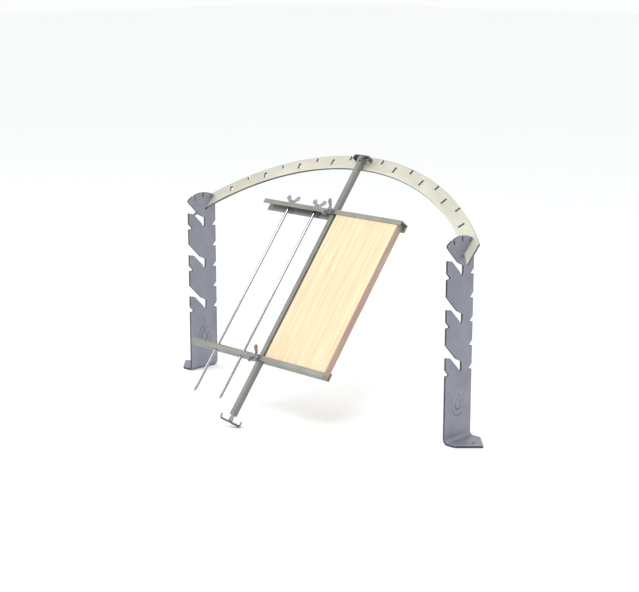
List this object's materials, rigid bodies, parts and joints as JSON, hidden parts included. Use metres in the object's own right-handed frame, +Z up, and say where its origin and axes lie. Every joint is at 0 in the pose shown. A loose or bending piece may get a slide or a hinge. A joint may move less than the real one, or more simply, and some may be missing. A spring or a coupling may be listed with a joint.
{
  "type": "fire table cooking arch",
  "caption": "Two notched steel uprights carry a leaning curved arch; a mast hung from it holds a wooden plank and skewers between sliding channels.",
  "frame": {"origin": "on the table, under the middle of the assembly's box", "axes": "+X along the arch, from the skewers' side to the plank's side; +Y towards the rear, where the arch leans; +Z up"},
  "size_m": [1.414, 0.6747, 0.8216],
  "materials": {
    "upright_steel": "satin blue-grey",
    "arch_steel": "satin warm grey",
    "tube_steel": "satin",
    "bracket_steel": "satin dark",
    "polished_steel": "polished",
    "cast_zinc": "bright",
    "plated_steel": "zinc plated",
    "plank_wood": "sanded, unfinished"
  },
  "bodies": {
    "stand": {"left_upright": "upright_steel", "right_upright": "upright_steel", "left_foot": "upright_steel", "right_foot": "upright_steel", "arch": "arch_steel"},
    "mast": {"mast": "tube_steel", "head_insert": "tube_steel", "foot_insert": "polished_steel", "head_claw": "bracket_steel", "foot_claw": "bracket_steel", "head_screw": "plated_steel", "foot_screw": "plated_steel", "head_hook": "plated_steel", "head_hook_nut": "plated_steel"},
    "upper_crossbar": {"upper_channel": "tube_steel", "upper_clamp_stud": "plated_steel", "upper_clamp_nut": "plated_steel", "left_skewer_washer": "plated_steel", "right_skewer_washer": "plated_steel"},
    "lower_crossbar": {"lower_channel": "tube_steel", "lower_clamp_stud": "plated_steel", "lower_clamp_nut": "plated_steel"},
    "plank": {"plank": "plank_wood"},
    "left_skewer": {"left_skewer": "polished_steel"},
    "right_skewer": {"right_skewer": "polished_steel"},
    "upper_clamp_wing_nut": {"upper_clamp_wing_nut": "cast_zinc"},
    "lower_clamp_wing_nut": {"lower_clamp_wing_nut": "cast_zinc"},
    "left_skewer_wing_nut": {"left_skewer_wing_nut": "cast_zinc"},
    "right_skewer_wing_nut": {"right_skewer_wing_nut": "cast_zinc"}
  },
  "joints": [
    {"name": "mast_swing", "type": "hinge", "parent": "stand", "child": "mast", "pos_m": [0, 0.31532, 0.78931], "axis": [-1, 0, 0], "range_deg": [0, 30]},
    {"name": "upper_crossbar_slide", "type": "slide", "parent": "mast", "child": "upper_crossbar", "axis": [0, 0.6149, 0.7886], "range_m": [0, 0.05]},
    {"name": "lower_crossbar_slide", "type": "slide", "parent": "mast", "child": "lower_crossbar", "axis": [0, -0.6149, -0.7886], "range_m": [0, 0.1]},
    {"name": "plank_slide", "type": "slide", "parent": "lower_crossbar", "child": "plank", "axis": [1, 0, 0], "range_m": [0, 0.12]},
    {"name": "left_skewer_slide", "type": "slide", "parent": "upper_crossbar", "child": "left_skewer", "axis": [0, 0.6149, 0.7886], "range_m": [0, 0.06]},
    {"name": "right_skewer_slide", "type": "slide", "parent": "upper_crossbar", "child": "right_skewer", "axis": [0, 0.6149, 0.7886], "range_m": [0, 0.06]},
    {"name": "upper_clamp_wing_nut_turn", "type": "hinge", "parent": "upper_crossbar", "child": "upper_clamp_wing_nut", "pos_m": [0, 0.14386, 0.65481], "axis": [0, -0.7886, 0.6149], "continuous": true},
    {"name": "lower_clamp_wing_nut_turn", "type": "hinge", "parent": "lower_crossbar", "child": "lower_clamp_wing_nut", "pos_m": [0, -0.19682, 0.21794], "axis": [0, -0.7886, 0.6149], "continuous": true},
    {"name": "left_skewer_wing_nut_turn", "type": "hinge", "parent": "left_skewer", "child": "left_skewer_wing_nut", "pos_m": [-0.218, 0.17781, 0.64875], "axis": [0, 0.6149, 0.7886], "continuous": true},
    {"name": "right_skewer_wing_nut_turn", "type": "hinge", "parent": "right_skewer", "child": "right_skewer_wing_nut", "pos_m": [-0.092, 0.17781, 0.64875], "axis": [0, 0.6149, 0.7886], "continuous": true}
  ]
}
